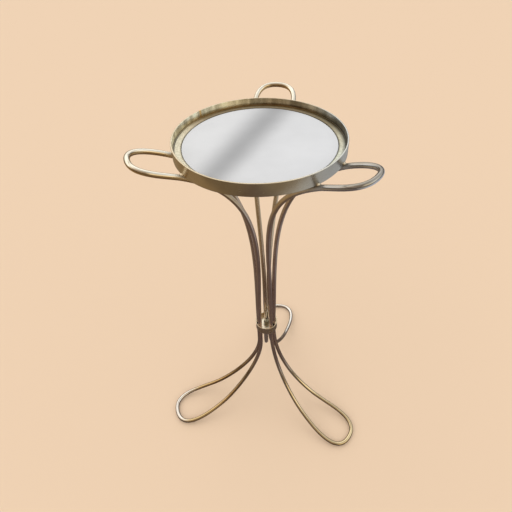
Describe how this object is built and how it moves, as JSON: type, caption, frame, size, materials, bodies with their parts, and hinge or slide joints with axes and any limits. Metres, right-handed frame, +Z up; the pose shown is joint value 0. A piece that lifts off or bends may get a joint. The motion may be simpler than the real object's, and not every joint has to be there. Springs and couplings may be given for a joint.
{
  "type": "brass tray table",
  "caption": "Tall round drinks table with an inset mirror tray in a brass rim, bent-rod handles, a slim collared stem and teardrop rod feet.",
  "frame": {"origin": "on the floor, under the middle of the bounding box; the stem's axis stands 46.8 mm in front of it, at Y = -0.0468", "axes": "+Z up along the stem; +Y towards the back foot and back handle; +X to the right, and the object is its own mirror image across X = 0"},
  "size_m": [0.4042, 0.359, 0.6564],
  "materials": {
    "polished_brass": "worn polish with a brown patina",
    "satin_brass": "satin sheet with a mottled patina",
    "mirror": "silvered plate glass",
    "felt": "pressed felt",
    "plated_steel": "plated"
  },
  "bodies": {
    "root": {"rim_band": "polished_brass", "handle_loop_back": "polished_brass", "handle_loop_left": "polished_brass", "handle_loop_right": "polished_brass", "foot_loop_back": "polished_brass", "foot_loop_left": "polished_brass", "foot_loop_right": "polished_brass", "collar_sleeve": "polished_brass", "cap_nut": "polished_brass", "upper_washer": "polished_brass", "lower_washer": "polished_brass", "tray_pan": "satin_brass", "upper_plate": "satin_brass", "lower_plate": "satin_brass", "mirror_glass": "mirror", "felt_pad": "felt", "clamp_bolt": "plated_steel", "joint_pin_back_a": "plated_steel", "joint_pin_back_b": "plated_steel", "joint_pin_left_a": "plated_steel", "joint_pin_left_b": "plated_steel", "joint_pin_right_a": "plated_steel", "joint_pin_right_b": "plated_steel"}
  },
  "joints": []
}
